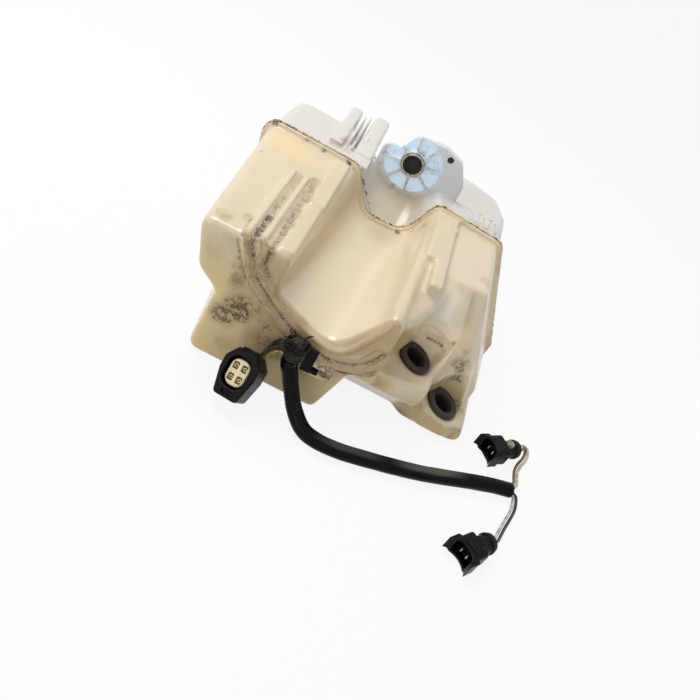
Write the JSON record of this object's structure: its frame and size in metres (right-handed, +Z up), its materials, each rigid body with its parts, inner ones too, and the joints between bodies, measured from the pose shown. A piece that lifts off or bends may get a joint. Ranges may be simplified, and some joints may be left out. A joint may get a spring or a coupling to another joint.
{
  "type": "washer fluid reservoir",
  "caption": "Two-part moulded plastic tank that holds windscreen washer fluid, with a trough, a mounting hub, pump seats and a short pump wiring harness.",
  "frame": {"origin": "on the floor under the middle of the tank, measured without the harness", "axes": "+Z up, +Y from the trough's mouth towards the mounting hub and the back, +X to the right seen from the trough's mouth"},
  "size_m": [0.2908, 0.3429, 0.1404],
  "materials": {
    "front_plastic": "translucent moulded polypropylene, aged cream",
    "rear_plastic": "translucent moulded polypropylene, whiter",
    "sleeve_steel": "plain rolled steel, dull",
    "grommet_rubber": "matt grey-black rubber",
    "strainer_plastic": "black moulded plastic",
    "harness_tape": "black cloth tape",
    "black_plastic": "black moulded plastic, slightly worn",
    "loom_vinyl": "black vinyl sleeve with a soft shine",
    "cream_plastic": "cream moulded plastic",
    "terminal_brass": "tinned brass, dull",
    "wire_white": "wire insulation, off-white",
    "wire_black": "wire insulation, black",
    "wire_brown": "wire insulation, brown",
    "wire_yellow": "wire insulation, yellow"
  },
  "bodies": {
    "root": {"front_shell": "front_plastic", "rear_shell": "rear_plastic", "mounting_sleeve": "sleeve_steel", "upper_pump_grommet": "grommet_rubber", "lower_pump_grommet": "grommet_rubber", "upper_strainer": "strainer_plastic", "lower_strainer": "strainer_plastic", "branch_tape": "harness_tape", "harness_clip": "black_plastic", "conduit": "loom_vinyl", "four_way_housing": "black_plastic", "four_way_insert": "cream_plastic", "four_way_seal": "grommet_rubber", "four_way_terminal_1": "terminal_brass", "four_way_terminal_2": "terminal_brass", "four_way_terminal_3": "terminal_brass", "four_way_terminal_4": "terminal_brass", "pigtail_wire_1": "wire_yellow", "pigtail_wire_2": "wire_black", "pigtail_wire_3": "wire_black", "pigtail_wire_4": "wire_brown", "near_plug_housing": "black_plastic", "near_plug_lock_disc": "cream_plastic", "near_plug_seal": "grommet_rubber", "near_plug_terminal_1": "terminal_brass", "near_wire_1": "wire_white", "near_plug_terminal_2": "terminal_brass", "near_wire_2": "wire_black", "far_plug_housing": "black_plastic", "far_plug_lock_disc": "cream_plastic", "far_plug_seal": "grommet_rubber", "far_plug_terminal_1": "terminal_brass", "far_wire_1": "wire_white", "far_plug_terminal_2": "terminal_brass", "far_wire_2": "wire_brown"}
  },
  "joints": []
}
